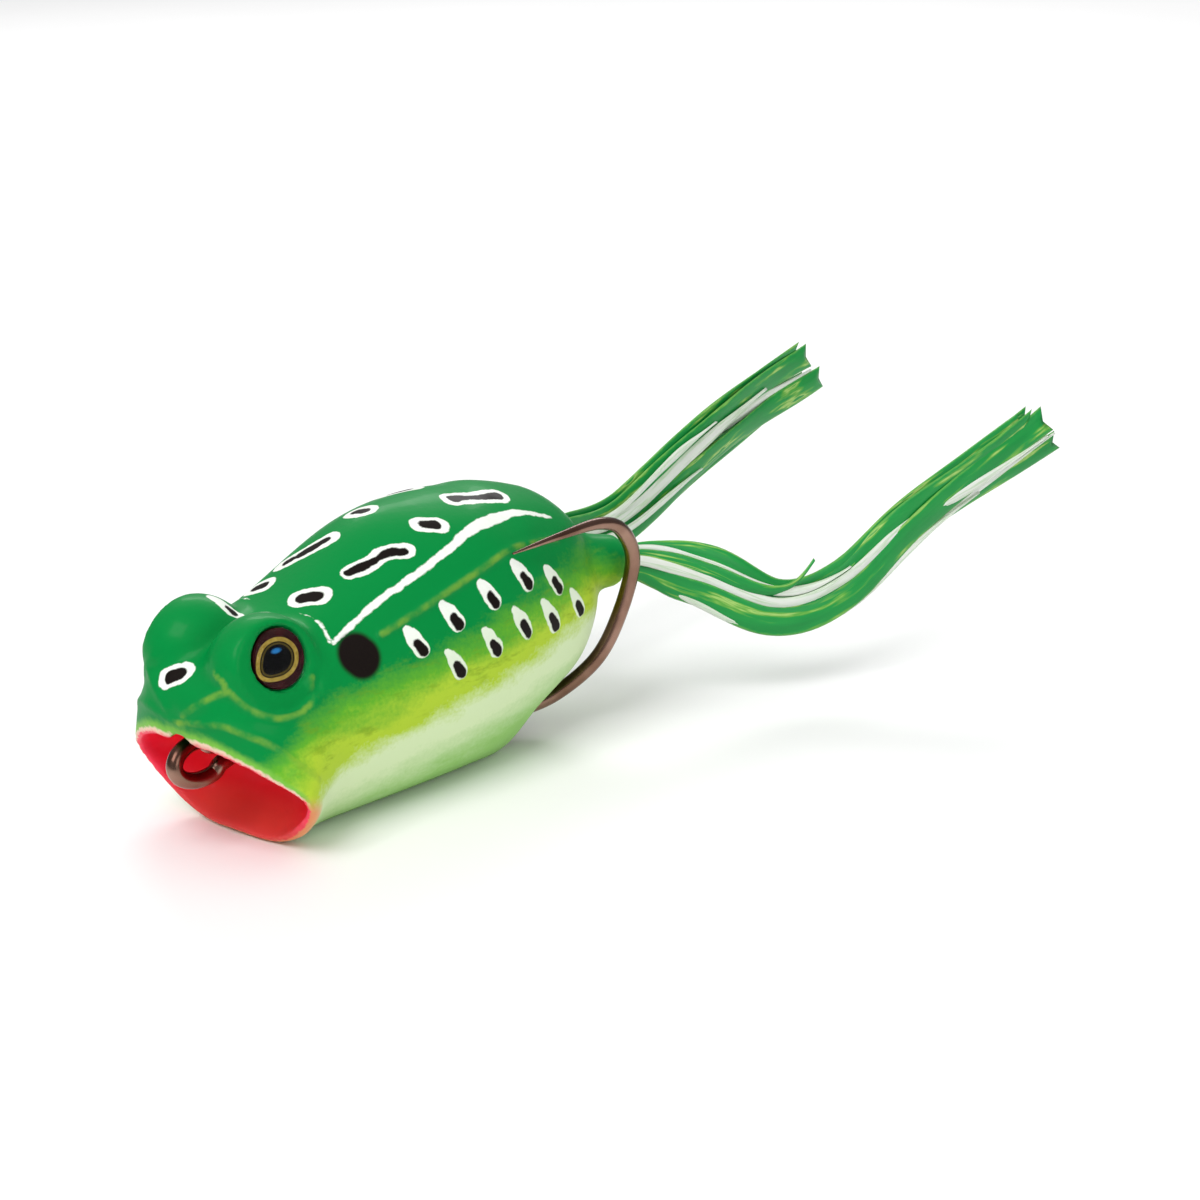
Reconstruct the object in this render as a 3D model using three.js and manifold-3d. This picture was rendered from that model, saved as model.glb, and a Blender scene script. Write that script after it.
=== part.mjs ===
// Hollow-body popping frog, a topwater fishing lure that floats on its belly.
// Millimetres. +X is the frog's left, -Y its nose, +Z its back. The origin is the middle of the
// flat pad under the belly.

import * as THREE from "three";
import { mergeVertices } from "three/addons/utils/BufferGeometryUtils.js";
import Module from "manifold-3d";

const wasm = await Module();
wasm.setup();

// Driving dimensions
const WALL = 1.6; // soft plastic of the hollow body
const GAP = 0.3; // kept between pieces that touch
const WIRE_RADIUS = 0.85;
const SHANK_OFFSET = 0.95; // each shank lies this far from the middle plane
const EYE_RADIUS = 3;
const EYE_THICKNESS = 0.5;
const EYE_FLAT_RADIUS = 5.5; // reach of the flat that is pared off each bulge round its eye
const DOME_HEIGHT = 0.6;
const TUBE_RADIUS = 2.95;
const TUBE_BORE = 2.35;
const TUBE_LENGTH = 9;
const PIVOT_DEPTH = 0.9; // the leg bends this far inside the mouth of its tube
const ROOT_DEPTH = 2.1; // the strands start this far inside it
const TIE_RADIUS = 0.5;
const WEIGHT_LENGTH = 12;
const WEIGHT_RADIUS = 2.9;

const BODY_SIDES = 36;
const CAVITY_SIDES = 24;
const WIRE_SIDES = 8;
const WIRE_STEPS = 110;
const STRAND_STEPS = 14;

const TUBE_END = new THREE.Vector3(6.6, 28.8, 17.3);
const TUBE_DIRECTION = new THREE.Vector3(0.35, 0.9, -0.16).normalize();
const EYE_CENTRE = new THREE.Vector3(7.2, -22.4, 20.05);
const EYE_NORMAL = new THREE.Vector3(0.95, -0.1, 0.24).normalize();
const BULGE_CENTRE = new THREE.Vector3(4.9, -22.6, 19.2);
const BULGE_RADII = new THREE.Vector3(4.8, 5.5, 4.8);
const LINE_EYE_CENTRE = new THREE.Vector3(0, -27.4, 9.2);
const LINE_EYE_LENGTH = 2.9; // half of the loop of wire, along Y
const LINE_EYE_HEIGHT = 1.8; // half of the loop of wire, along Z
const SHANK_AT_WEIGHT = new THREE.Vector3(0, 0, 4.95);
const SHANK_SLOPE = 0.22; // the shank drops this much per millimetre towards the tail

// Cross-sections of the body from lips to tail. lean tips a section forward above LEVEL, and
// sweep curls its sides back. Each pair is half a width and a height.
const LEVEL = 6.4;
const HALF_BEAM = 12.3;
const STATIONS = [
  { y: -26.4, lean: -0.56, sweep: 2, crown: 12.0, ridge: [5.0, 11.7], crease: [9.6, 9.7],
    flank: [12.9, 6.5], chine: [9.6, 2.5], keel: [5.4, 0.3] },
  { y: -25.0, lean: -0.52, sweep: 1.9, crown: 15.6, ridge: [5.0, 15.2], crease: [9.2, 12.4],
    flank: [12.7, 6.8], chine: [9.7, 2.2], keel: [5.4, 0.1] },
  { y: -23.0, lean: -0.4, sweep: 1.6, crown: 18.6, ridge: [5.4, 18.4], crease: [8.8, 14.6],
    flank: [12.0, 7.8], chine: [8.9, 2.5], keel: [5.0, -0.1] },
  { y: -20.1, lean: -0.22, sweep: 0.9, crown: 20.4, ridge: [5.6, 20.2], crease: [8.8, 16.5],
    flank: [11.2, 9.0], chine: [8.3, 2.7], keel: [4.6, -0.1] },
  { y: -16.0, lean: 0, sweep: 0, crown: 22.7, ridge: [6.3, 21.4], crease: [8.9, 17.6],
    flank: [10.8, 10.2], chine: [8.0, 2.9], keel: [4.2, -0.1] },
  { y: -4.0, lean: 0, sweep: 0, crown: 28.4, ridge: [7.5, 25.0], crease: [9.9, 20.6],
    flank: [11.9, 12.2], chine: [9.0, 3.2], keel: [4.6, -0.1] },
  { y: 5.0, lean: 0, sweep: 0, crown: 29.4, ridge: [8.0, 26.3], crease: [10.2, 22.3],
    flank: [12.2, 13.1], chine: [9.2, 3.6], keel: [5.0, -0.1] },
  { y: 10.6, lean: 0, sweep: 0, crown: 29.0, ridge: [7.8, 25.7], crease: [9.9, 22.5],
    flank: [11.8, 13.5], chine: [8.9, 4.4], keel: [4.8, -0.1] },
  { y: 13.6, lean: 0, sweep: 0, crown: 28.8, ridge: [7.6, 25.6], crease: [9.6, 22.2],
    flank: [11.4, 13.7], chine: [8.9, 5.8], keel: [4.6, 2.6] },
  { y: 20.0, lean: 0, sweep: 0, crown: 26.9, ridge: [6.7, 24.0], crease: [8.7, 20.5],
    flank: [10.1, 14.2], chine: [8.2, 8.0], keel: [4.3, 6.0] },
  { y: 23.6, lean: 0, sweep: 0, crown: 24.5, ridge: [5.5, 22.2], crease: [7.4, 19.0],
    flank: [8.3, 14.2], chine: [6.5, 9.4], keel: [3.5, 7.8] },
  { y: 26.2, lean: 0, sweep: 0, crown: 20.9, ridge: [3.8, 19.4], crease: [5.0, 17.6],
    flank: [5.6, 14.0], chine: [4.4, 10.9], keel: [2.3, 9.7] },
  { y: 27.4, lean: 0, sweep: 0, crown: 16.6, ridge: [1.6, 15.9], crease: [2.2, 15.3],
    flank: [2.4, 14.2], chine: [1.7, 13.0], keel: [0.9, 12.4] },
];

// Colours as the real lure has them
const MATERIALS = {
  skin: { color: 0x2e9a45, roughness: 0.35, metalness: 0 },
  bronze: { color: 0x8a6a55, roughness: 0.25, metalness: 1 },
  lead: { color: 0x70747a, roughness: 0.6, metalness: 0.6 },
  iris: { color: 0x3a1216, roughness: 0.3, metalness: 0.2 },
  resin: { color: 0xe8eef0, roughness: 0.05, metalness: 0 },
  green: { color: 0x179448, roughness: 0.45, metalness: 0 },
  white: { color: 0xeef2e6, roughness: 0.45, metalness: 0 },
  thread: { color: 0x20231f, roughness: 0.8, metalness: 0 },
};

const part = new THREE.Group();

function addPiece(name, geometry, kind) {
  const mesh = new THREE.Mesh(geometry, new THREE.MeshStandardMaterial(MATERIALS[kind]));
  mesh.name = name;
  part.add(mesh);
  return mesh;
}

// Geometry helpers

function at(x, y, z) {
  return new THREE.Vector3(x, y, z);
}

function smoothCurve(points, closed = false) {
  return new THREE.CatmullRomCurve3(points, closed, "catmullrom", 0.5);
}

// Joins rings of equal length into one closed skin, capped by a fan at each end.
function loft(rings) {
  const count = rings[0].length;
  const points = rings.flat();
  const faces = [];
  for (let r = 0; r < rings.length - 1; r++) {
    for (let i = 0; i < count; i++) {
      const a = r * count + i;
      const b = r * count + ((i + 1) % count);
      faces.push(a, b, b + count, a, b + count, a + count);
    }
  }
  for (const end of [0, rings.length - 1]) {
    const centre = points.length;
    const middle = rings[end].reduce((sum, p) => sum.add(p), at(0, 0, 0));
    points.push(middle.divideScalar(count));
    for (let i = 0; i < count; i++) {
      const a = end * count + i;
      const b = end * count + ((i + 1) % count);
      faces.push(...(end === 0 ? [centre, b, a] : [centre, a, b]));
    }
  }
  const geometry = new THREE.BufferGeometry().setFromPoints(points);
  geometry.setIndex(faces);
  return geometry;
}

function toSolid(geometry) {
  const bare = new THREE.BufferGeometry();
  bare.setAttribute("position", geometry.getAttribute("position"));
  bare.setIndex(geometry.getIndex());
  const welded = mergeVertices(bare, 1e-4);
  return new wasm.Manifold(new wasm.Mesh({
    numProp: 3,
    vertProperties: new Float32Array(welded.getAttribute("position").array),
    triVerts: new Uint32Array(welded.getIndex().array),
  }));
}

function toGeometry(solid) {
  const mesh = solid.getMesh();
  const geometry = new THREE.BufferGeometry();
  geometry.setAttribute("position", new THREE.BufferAttribute(mesh.vertProperties, 3));
  geometry.setIndex(new THREE.BufferAttribute(mesh.triVerts, 1));
  geometry.computeVertexNormals();
  return geometry;
}

function rodBetween(start, end, radius, sides) {
  const axis = end.clone().sub(start);
  const rod = new THREE.CylinderGeometry(radius, radius, axis.length(), sides);
  const turn = new THREE.Quaternion().setFromUnitVectors(at(0, 1, 0), axis.clone().normalize());
  rod.applyQuaternion(turn);
  const middle = start.clone().add(end).multiplyScalar(0.5);
  return rod.translate(middle.x, middle.y, middle.z);
}

function mirrored(vector, side) {
  return at(vector.x * side, vector.y, vector.z);
}

// Body shell

function sectionControls(station) {
  const { y, lean, sweep, crown, ridge, crease, flank, chine, keel } = station;
  const shoulder = [0.55 * ridge[0], crown - 0.3 * (crown - ridge[1])];
  const half = [[0, crown], shoulder, ridge, crease, flank, chine, keel, [0, keel[1]]];
  const other = half.slice(1, -1).reverse().map(([x, z]) => [-x, z]);
  return half.concat(other).map(([x, z]) =>
    at(x, y + lean * (z - LEVEL) + sweep * (x / HALF_BEAM) ** 2, z));
}

const rails = STATIONS.map(sectionControls)[0].map((_, corner) =>
  smoothCurve(STATIONS.map((station) => sectionControls(station)[corner])));

function bodySection(along, count) {
  const outline = smoothCurve(rails.map((rail) => rail.getPoint(along)), true);
  return Array.from({ length: count }, (_, i) => outline.getPoint(i / count));
}

function middleOf(ring) {
  return ring.reduce((sum, p) => sum.add(p), at(0, 0, 0)).divideScalar(ring.length);
}

function bodyOuter() {
  const last = STATIONS.length - 1;
  const rings = [];
  for (let half = 0; half <= 2 * last; half++) {
    rings.push(bodySection(half / (2 * last), BODY_SIDES));
  }
  return toSolid(loft(rings)).trimByPlane([0, 0, 1], 0);
}

// The hollow follows the outer skin one wall inside it, from behind the mouth to the tail.
function bodyCavity() {
  const last = STATIONS.length - 1;
  const first = 3.6;
  const steps = 14;
  const rings = [];
  for (let i = 0; i <= steps; i++) {
    const ring = bodySection(THREE.MathUtils.lerp(first, last - 1.2, i / steps) / last, CAVITY_SIDES);
    const middle = middleOf(ring);
    rings.push(ring.map((p) => p.add(middle.clone().sub(p).normalize().multiplyScalar(WALL))));
  }
  return toSolid(loft(rings)).trimByPlane([0, 0, 1], WALL);
}

// The cup of the popper face: each row is its depth behind the lips, its size against the lip
// outline and its lift.
function mouthCup() {
  const rows = [[-2, 0.9, 0], [0, 0.93, 0], [1.8, 0.94, 0.5], [3.6, 0.84, 1.1], [5, 0.64, 1.6],
    [5.8, 0.36, 1.9]];
  const lips = bodySection(0, BODY_SIDES);
  const middle = middleOf(lips);
  return toSolid(loft(rows.map(([depth, size, lift]) => lips.map((p) =>
    p.clone().sub(middle).multiplyScalar(size).add(middle).add(at(0, depth, lift))))));
}

// Room in the upper lip for the loop of wire that the fishing line is tied to.
function lineEyeRoom() {
  const room = new THREE.CylinderGeometry(1, 1, 2 * (SHANK_OFFSET + WIRE_RADIUS + GAP), 24);
  room.rotateZ(Math.PI / 2);
  room.scale(1, LINE_EYE_LENGTH + WIRE_RADIUS + 0.6, LINE_EYE_HEIGHT + WIRE_RADIUS + 0.6);
  const { x, y, z } = LINE_EYE_CENTRE;
  return toSolid(room.translate(x, y, z));
}

function shankHole() {
  const hole = new THREE.CylinderGeometry(1, 1, 12, 20);
  hole.scale(SHANK_OFFSET + WIRE_RADIUS + 0.35, 1, WIRE_RADIUS + 0.8);
  return toSolid(hole.translate(0, -19, 9));
}

// The slot in the belly that the two shanks leave by, open behind the step of the keel.
function bellySlot() {
  const slot = new THREE.BoxGeometry(8.4, 12, 9);
  return toSolid(slot.translate(0, 13.5, 2.7));
}

function eyeSocket(side) {
  const normal = mirrored(EYE_NORMAL, side);
  const floor = mirrored(EYE_CENTRE, side).addScaledVector(normal, -EYE_THICKNESS - GAP);
  const rim = mirrored(EYE_CENTRE, side).addScaledVector(normal, GAP);
  const end = rim.clone().addScaledVector(normal, 5);
  const socket = toSolid(rodBetween(floor, end, EYE_RADIUS + 0.35, 28));
  return socket.add(toSolid(rodBetween(rim, end, EYE_FLAT_RADIUS, 28)));
}

function eyeBulge(side) {
  const bulge = new THREE.SphereGeometry(1, 24, 16);
  bulge.scale(BULGE_RADII.x, BULGE_RADII.y, BULGE_RADII.z);
  bulge.translate(BULGE_CENTRE.x * side, BULGE_CENTRE.y, BULGE_CENTRE.z);
  return toSolid(bulge);
}

function tubeRod(side, radius, beyond) {
  const direction = mirrored(TUBE_DIRECTION, side);
  const end = mirrored(TUBE_END, side);
  return toSolid(rodBetween(end.clone().addScaledVector(direction, -TUBE_LENGTH),
    end.clone().addScaledVector(direction, beyond), radius, 24));
}

function bodyShell() {
  const { union, difference } = wasm.Manifold;
  const sides = [1, -1];
  const outer = union([bodyOuter(), ...sides.map(eyeBulge),
    ...sides.map((side) => tubeRod(side, TUBE_RADIUS, 0))]);
  return difference([outer, bodyCavity(), mouthCup(), lineEyeRoom(), shankHole(), bellySlot(),
    ...sides.map(eyeSocket), ...sides.map((side) => tubeRod(side, TUBE_BORE, 1))]);
}

// Double hook: one wire from point to point, with the line eye as a loop in its middle

function hookCurve() {
  const leftArm = [at(10.4, 7.9, 23.9), at(10.7, 15, 24.2), at(11, 21, 24.2), at(11, 24.6, 22.6),
    at(11, 26.4, 18.8), at(10.2, 25.2, 13.2), at(8.7, 22.8, 8.0), at(5.3, 19.6, 4.0),
    at(2.6, 16, 2.5), at(1.3, 12, 2.6), at(SHANK_OFFSET, 6, 3.6), at(SHANK_OFFSET, -8, 6.7),
    at(SHANK_OFFSET, -20, 9)];
  const loopTurns = [20, 60, 100, 140, 180, 220, 260, 300, 340];
  const loop = loopTurns.map((turn) => {
    const angle = THREE.MathUtils.degToRad(turn);
    return at(SHANK_OFFSET * (1 - turn / 180), LINE_EYE_CENTRE.y + LINE_EYE_LENGTH * Math.cos(angle),
      LINE_EYE_CENTRE.z - LINE_EYE_HEIGHT * Math.sin(angle));
  });
  const rightArm = leftArm.map((p) => mirrored(p, -1)).reverse();
  return smoothCurve([...leftArm, ...loop, ...rightArm]);
}

function doubleHook() {
  const curve = hookCurve();
  const length = curve.getLength();
  const frames = curve.computeFrenetFrames(WIRE_STEPS, false);
  const pointLength = 18;
  const tipRadius = 0.12;
  const rings = [];
  for (let i = 0; i <= WIRE_STEPS; i++) {
    const centre = curve.getPointAt(i / WIRE_STEPS);
    const fromTip = Math.min(i, WIRE_STEPS - i) / WIRE_STEPS * length;
    const taper = Math.min(1, fromTip / pointLength);
    const radius = THREE.MathUtils.lerp(tipRadius, WIRE_RADIUS, taper ** 0.9);
    rings.push(Array.from({ length: WIRE_SIDES }, (_, k) => {
      const angle = 2 * Math.PI * k / WIRE_SIDES;
      return centre.clone().addScaledVector(frames.normals[i], radius * Math.cos(angle))
        .addScaledVector(frames.binormals[i], radius * Math.sin(angle));
    }));
  }
  return loft(rings);
}

// Lead slug on the two shanks

function bellyWeight() {
  const half = WEIGHT_LENGTH / 2;
  const profile = [new THREE.Vector2(0, -half)];
  for (let i = 1; i < 8; i++) {
    const angle = Math.PI * (i / 8 - 0.5);
    const x = WEIGHT_RADIUS * Math.sqrt(Math.cos(angle));
    profile.push(new THREE.Vector2(x, half * Math.sin(angle)));
  }
  profile.push(new THREE.Vector2(0, half));
  const slug = toSolid(new THREE.LatheGeometry(profile, 20));
  const width = 2 * (SHANK_OFFSET + WIRE_RADIUS + GAP);
  const channel = toSolid(new THREE.BoxGeometry(width, 2 * WEIGHT_LENGTH, 2 * (WIRE_RADIUS + GAP)));
  return toGeometry(slug.subtract(channel));
}

// Eyes

function eyeDome() {
  const ballRadius = (EYE_RADIUS ** 2 + DOME_HEIGHT ** 2) / (2 * DOME_HEIGHT);
  const reach = Math.asin(EYE_RADIUS / ballRadius);
  const profile = [new THREE.Vector2(0, 0), new THREE.Vector2(EYE_RADIUS, 0)];
  for (let i = 1; i <= 5; i++) {
    const angle = reach * (1 - i / 5);
    const drop = ballRadius - DOME_HEIGHT;
    profile.push(new THREE.Vector2(ballRadius * Math.sin(angle), ballRadius * Math.cos(angle) - drop));
  }
  profile[profile.length - 1].x = 0;
  return new THREE.LatheGeometry(profile, 28);
}

function addEye(sideName, side) {
  const normal = mirrored(EYE_NORMAL, side);
  const turn = new THREE.Quaternion().setFromUnitVectors(at(0, 1, 0), normal);
  const disc = addPiece(`${sideName}_eye_disc`,
    new THREE.CylinderGeometry(EYE_RADIUS, EYE_RADIUS, EYE_THICKNESS, 28), "iris");
  disc.position.copy(mirrored(EYE_CENTRE, side)).addScaledVector(normal, -EYE_THICKNESS / 2);
  disc.quaternion.copy(turn);
  const dome = addPiece(`${sideName}_eye_dome`, eyeDome(), "resin");
  dome.position.copy(mirrored(EYE_CENTRE, side)).addScaledVector(normal, GAP);
  dome.quaternion.copy(turn);
}

// Legs: seven silicone strands each, bunched in the tube and fanned out behind it

const LEG_ROUTES = {
  left: [at(8.5, 32.4, 16.4), at(12, 37.4, 14.2), at(17, 44.1, 10.4), at(20.6, 51.6, 11.8),
    at(24, 62, 18.2), at(29.8, 80.6, 26.6)],
  right: [at(-7.4, 35, 15.8), at(-7.8, 45.4, 15.5), at(-8.8, 60.3, 20.2), at(-10.2, 75.9, 24.1),
    at(-11, 89.5, 26.4)],
};
const STRAND_REACH = [1, 0.94, 0.98, 0.88, 1, 0.91, 0.96];
const WHITE_STRANDS = [2, 5];

function legCurve(sideName, side) {
  const root = mirrored(TUBE_END, side).addScaledVector(mirrored(TUBE_DIRECTION, side), -ROOT_DEPTH);
  return smoothCurve([root, mirrored(TUBE_END, side), ...LEG_ROUTES[sideName]]);
}

// Strand 0 runs down the middle and the others lie round it. The bunch opens behind the tube.
function strandGeometry(curve, frames, index) {
  const start = index === 0 ? 0.035 : 0;
  const around = Math.PI / 3 * (index - 1);
  const reach = STRAND_REACH[index];
  const rings = [];
  for (let i = 0; i <= STRAND_STEPS; i++) {
    const along = THREE.MathUtils.lerp(start, reach, i / STRAND_STEPS);
    const frame = Math.round(along * (frames.normals.length - 1));
    const across = frames.binormals[frame];
    const up = frames.normals[frame];
    const opened = THREE.MathUtils.smoothstep(along, 0.03, 0.3);
    const spread = index === 0 ? 0 : THREE.MathUtils.lerp(1.2, 2.3 + 0.7 * along, opened);
    const width = THREE.MathUtils.lerp(0.42, 0.85, opened);
    const thickness = THREE.MathUtils.lerp(0.34, 0.3, opened);
    const centre = curve.getPointAt(along).addScaledVector(across, spread * Math.cos(around))
      .addScaledVector(up, spread * Math.sin(around));
    rings.push(Array.from({ length: 6 }, (_, k) => {
      const angle = Math.PI / 3 * k;
      return centre.clone().addScaledVector(across, width * Math.cos(angle))
        .addScaledVector(up, thickness * Math.sin(angle));
    }));
  }
  return loft(rings.reverse());
}

function addLeg(sideName, side) {
  const curve = legCurve(sideName, side);
  const frames = curve.computeFrenetFrames(200, false);
  const pivot = mirrored(TUBE_END, side).addScaledVector(mirrored(TUBE_DIRECTION, side), -PIVOT_DEPTH);
  const tie = addPiece(`${sideName}_leg_tie`, new THREE.SphereGeometry(TIE_RADIUS, 10, 8), "thread");
  tie.position.copy(pivot);
  for (let index = 0; index < STRAND_REACH.length; index++) {
    const kind = WHITE_STRANDS.includes(index) ? "white" : "green";
    addPiece(`${sideName}_strand_${index + 1}`, strandGeometry(curve, frames, index), kind);
  }
}

addPiece("body_shell", toGeometry(bodyShell()), "skin");
addPiece("double_hook", doubleHook(), "bronze");
const weight = addPiece("belly_weight", bellyWeight(), "lead");
weight.position.copy(SHANK_AT_WEIGHT);
weight.rotation.x = -Math.atan(SHANK_SLOPE);
for (const [sideName, side] of [["left", 1], ["right", -1]]) {
  addEye(sideName, side);
  addLeg(sideName, side);
}

export default part;
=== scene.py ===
"""The looks of a hollow popping frog lure: body moulding and its paint, hook, eyes and strands."""
import math
import random

import bmesh
import bpy
import numpy as np
from mathutils import Matrix, Vector
from mathutils.bvhtree import BVHTree


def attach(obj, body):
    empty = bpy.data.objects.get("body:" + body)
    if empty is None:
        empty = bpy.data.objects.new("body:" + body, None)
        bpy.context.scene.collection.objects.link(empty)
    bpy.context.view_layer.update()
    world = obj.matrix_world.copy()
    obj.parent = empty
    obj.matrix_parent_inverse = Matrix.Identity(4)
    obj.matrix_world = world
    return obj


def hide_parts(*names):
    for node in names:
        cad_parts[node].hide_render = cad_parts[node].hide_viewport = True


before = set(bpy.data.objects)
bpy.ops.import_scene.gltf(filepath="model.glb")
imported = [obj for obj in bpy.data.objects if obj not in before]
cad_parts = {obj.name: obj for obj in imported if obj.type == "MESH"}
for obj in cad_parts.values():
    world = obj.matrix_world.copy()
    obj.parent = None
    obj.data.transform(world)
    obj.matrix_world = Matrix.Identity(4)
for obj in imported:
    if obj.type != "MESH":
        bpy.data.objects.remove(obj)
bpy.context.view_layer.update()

# Shapes are worked out in millimetres, as in the CAD model, and stored in metres.
MM = 0.001

# Camera, in degrees and millimetres
CAMERA_AZIMUTH = 41
CAMERA_ELEVATION = 18
CAMERA_ROLL = -1
CAMERA_DISTANCE = 300
CAMERA_TARGET = (10.1, 21.9, 15.2)
CAMERA_LENS = 83.07
SENSOR = 36

# Body
WALL = 1.6
WIRE_RADIUS = 0.85
SHANK_OFFSET = 0.95
EYE_RADIUS = 3
EYE_FLAT_RADIUS = 5.5
DOME_HEIGHT = 0.5
DOME_GAP = 0.3
TUBE_RADIUS = 2.95
TUBE_BORE = 2.35
TUBE_LENGTH = 9
ROOT_DEPTH = 2.1
TUBE_END = np.array((6.6, 28.8, 17.3))
TUBE_DIRECTION = np.array((0.35, 0.9, -0.16))
EYE_CENTRE = np.array((7.2, -22.4, 20.05))
EYE_NORMAL = np.array((0.95, -0.1, 0.24))
BULGE_CENTRE = np.array((4.9, -22.6, 19.2))
BULGE_RADII = np.array((5.0, 5.7, 5.0))
LINE_EYE_CENTRE = np.array((0, -27.4, 9.2))
LINE_EYE_LENGTH = 2.9
LINE_EYE_HEIGHT = 1.8
EYE_CLEARANCE = 0.2
EYE_SOCKET_DEPTH = 0.8
EYE_FLAT_HEIGHT = 0.25
TUBE_ALLOWANCE = 0.1
ROUGH_VOXEL = 0.4
ROUGH_RELAX = 16
FINE_VOXEL = 0.3
FINE_RELAX = 3
LOWEST_POINT = 0.02
LEVEL = 6.4
HALF_BEAM = 12.3
BODY_SIDES = 120
BODY_RINGS = 130
LIP_OVERRUN = 0.7
LIP_SIDES = 96
CAVITY_START = 3.6
CAVITY_END = 1.2
CAVITY_SIDES = 72
CAVITY_RINGS = 40
SHANK_HOLE = ((0, -26, 9.4), (0, -12, 8.6))
BELLY_SLOT = ((0, 7.5, 2), (0, 19.5, 2))
SLOT_HALF_WIDTH = 4.2
NODE_SPACING = 0.25

TUBE_DIRECTION = TUBE_DIRECTION / np.linalg.norm(TUBE_DIRECTION)
EYE_NORMAL = EYE_NORMAL / np.linalg.norm(EYE_NORMAL)

# Cross-sections from lips to tail: y, lean, sweep, crown height, then half a width and a height
# for the ridge, crease, flank, chine and keel.
STATIONS = [
    (-26.4, -0.56, 2, 12.0, (5.0, 11.7), (9.6, 9.7), (12.9, 6.5), (9.6, 2.5), (5.4, 0.3)),
    (-25.0, -0.52, 1.9, 15.6, (5.0, 15.2), (9.2, 12.4), (12.7, 6.8), (9.7, 2.2), (5.4, 0.1)),
    (-23.0, -0.4, 1.6, 18.6, (5.4, 18.4), (8.8, 14.6), (12.0, 7.8), (8.9, 2.5), (5.0, -0.1)),
    (-20.1, -0.22, 0.9, 20.4, (5.6, 20.2), (8.8, 16.5), (11.2, 9.0), (8.3, 2.7), (4.6, -0.1)),
    (-16.0, 0, 0, 22.7, (6.3, 21.4), (8.9, 17.6), (10.8, 10.2), (8.0, 2.9), (4.2, -0.1)),
    (-4.0, 0, 0, 28.4, (7.5, 25.0), (9.9, 20.6), (11.9, 12.2), (9.0, 3.2), (4.6, -0.1)),
    (5.0, 0, 0, 29.4, (8.0, 26.3), (10.2, 22.3), (12.2, 13.1), (9.2, 3.6), (5.0, -0.1)),
    (10.6, 0, 0, 29.0, (7.8, 25.7), (9.9, 22.5), (11.8, 13.5), (8.9, 4.4), (4.8, -0.1)),
    (13.6, 0, 0, 28.8, (7.6, 25.6), (9.6, 22.2), (11.4, 13.7), (8.9, 5.8), (4.6, 2.6)),
    (20.0, 0, 0, 26.9, (6.7, 24.0), (8.7, 20.5), (10.1, 14.2), (8.2, 8.0), (4.3, 6.0)),
    (23.6, 0, 0, 24.5, (5.5, 22.2), (7.4, 19.0), (8.3, 14.2), (6.5, 9.4), (3.5, 7.8)),
    (26.2, 0, 0, 20.9, (3.8, 19.4), (5.0, 17.6), (5.6, 14.0), (4.4, 10.9), (2.3, 9.7)),
    (27.4, 0, 0, 16.6, (1.6, 15.9), (2.2, 15.3), (2.4, 14.2), (1.7, 13.0), (0.9, 12.4)),
]


# ---- Mesh helpers, all in millimetres ----

def unit(vector):
    return vector / np.linalg.norm(vector)


def mirrored(point, side):
    return np.array((point[0] * side, point[1], point[2]), float)


def catmull(points, places, closed=False):
    """Points on a Catmull-Rom curve at places from 0 to 1."""
    points = np.asarray(points, float)
    places = np.asarray(places, float)
    count = len(points)
    if closed:
        reach = places * count
        first = np.floor(reach).astype(int)
        near = [points[(first + step - 1) % count] for step in range(4)]
    else:
        reach = places * (count - 1)
        first = np.clip(np.floor(reach).astype(int), 0, count - 2)
        before = 2 * points[0] - points[1]
        after = 2 * points[-1] - points[-2]
        padded = np.concatenate([[before], points, [after]])
        near = [padded[first + step] for step in range(4)]
    part = (reach - first)[:, None]
    a, b, c, d = near
    return 0.5 * (2 * b + (c - a) * part + (2 * a - 5 * b + 4 * c - d) * part ** 2
                  + (3 * b - a - 3 * c + d) * part ** 3)


def new_object(name, points, faces):
    mesh = bpy.data.meshes.new(name)
    mesh.from_pydata([tuple(p) for p in points], [], faces)
    shape = bmesh.new()
    shape.from_mesh(mesh)
    if shape.calc_volume(signed=True) < 0:
        bmesh.ops.reverse_faces(shape, faces=shape.faces)
        shape.to_mesh(mesh)
    shape.free()
    mesh.update()
    obj = bpy.data.objects.new(name, mesh)
    bpy.context.scene.collection.objects.link(obj)
    return obj


def loft(name, rings):
    """One closed skin through rings of equal length, with a fan at each end."""
    count = len(rings[0])
    points = [p for ring in rings for p in ring]
    faces = []
    for r in range(len(rings) - 1):
        for i in range(count):
            a = r * count + i
            b = r * count + (i + 1) % count
            faces.append((a, b, b + count, a + count))
    for end in (0, len(rings) - 1):
        centre = len(points)
        points.append(np.mean(rings[end], axis=0))
        for i in range(count):
            a = end * count + i
            b = end * count + (i + 1) % count
            faces.append((centre, b, a) if end == 0 else (centre, a, b))
    return new_object(name, points, faces)


def curve_frames(points):
    """Tangents and two steady side directions along a path."""
    tangents = np.gradient(points, axis=0)
    tangents /= np.linalg.norm(tangents, axis=1)[:, None]
    start = np.cross(tangents[0], (0, 0, 1))
    sides = [unit(start)]
    for tangent in tangents[1:]:
        side = sides[-1] - tangent * np.dot(sides[-1], tangent)
        sides.append(unit(side))
    sides = np.array(sides)
    return tangents, sides, np.cross(sides, tangents)


def even_path(points, count):
    """The same path with its points an even distance apart."""
    steps = np.linalg.norm(np.diff(points, axis=0), axis=1)
    travelled = np.concatenate([[0], np.cumsum(steps)])
    wanted = np.linspace(0, travelled[-1], count)
    return np.stack([np.interp(wanted, travelled, points[:, k]) for k in range(3)], axis=1), travelled[-1]


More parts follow.
